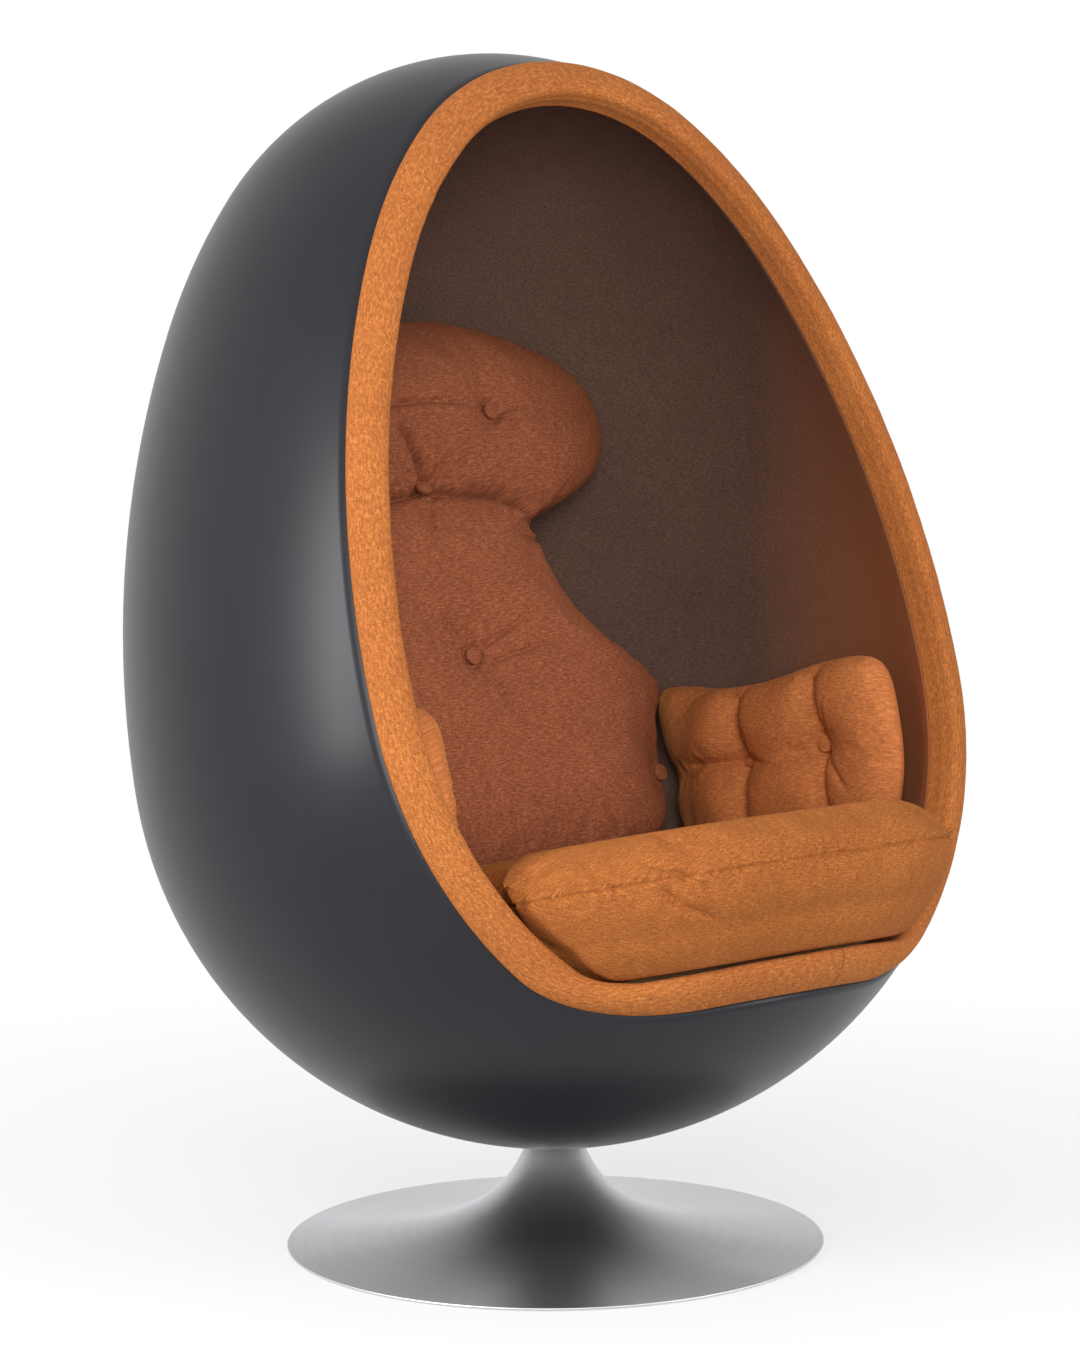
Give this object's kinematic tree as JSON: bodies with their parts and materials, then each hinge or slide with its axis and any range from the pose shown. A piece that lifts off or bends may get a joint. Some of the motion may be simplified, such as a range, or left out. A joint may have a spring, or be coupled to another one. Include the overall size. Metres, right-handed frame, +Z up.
{
  "type": "pod chair",
  "caption": "Egg-shaped lounge chair: a leaning moulded shell with a padded opening, loose seat, back and arm cushions, turning on a spun trumpet base.",
  "frame": {"origin": "on the floor, at the middle of the base, on the vertical axis about which the pod turns", "axes": "+Z up along the swivel axis, the opening faces -Y, +X is to the right of someone who looks into the opening"},
  "size_m": [0.91, 0.9316, 1.2995],
  "materials": {
    "felt": "matt",
    "dark_steel": "satin",
    "brushed_steel": "circular brushed",
    "bush_plastic": "matt",
    "black_plastic": "matt",
    "turned_steel": "turned",
    "shell_gelcoat": "satin charcoal",
    "plywood": "raw birch plywood",
    "foam": "open foam",
    "lining_cloth": "woven wool, rust",
    "rim_cloth": "woven wool, orange",
    "seat_cloth": "woven wool, orange",
    "cushion_cloth": "woven wool, rust brown"
  },
  "bodies": {
    "base": {"floor_pad": "felt", "ballast_plate": "dark_steel", "base_trumpet": "brushed_steel", "column_tube": "dark_steel", "column_gussets": "dark_steel", "lower_bush": "bush_plastic", "upper_bush": "bush_plastic", "thrust_washer": "black_plastic"},
    "pod": {"spindle": "turned_steel", "retaining_washer": "turned_steel", "retaining_clip": "dark_steel", "collar_ring": "turned_steel", "outer_shell": "shell_gelcoat", "mounting_block": "plywood", "mounting_plate": "dark_steel", "plate_bolts": "turned_steel", "seat_deck": "plywood", "deck_cleats": "plywood", "deck_screws": "turned_steel", "lining_foam": "foam", "lining_cloth": "lining_cloth", "rim_roll": "rim_cloth", "seat_cushion": "seat_cloth", "back_support": "foam", "back_cushion": "cushion_cloth", "arm_cushion_left": "cushion_cloth", "arm_cushion_right": "cushion_cloth", "head_buttons": "cushion_cloth", "back_buttons": "cushion_cloth", "corner_buttons": "cushion_cloth", "arm_buttons_left": "cushion_cloth", "arm_buttons_right": "cushion_cloth"}
  },
  "joints": [
    {"name": "swivel", "type": "hinge", "parent": "base", "child": "pod", "pos_m": [0, 0, 0.1], "axis": [0, 0, 1], "continuous": true}
  ]
}
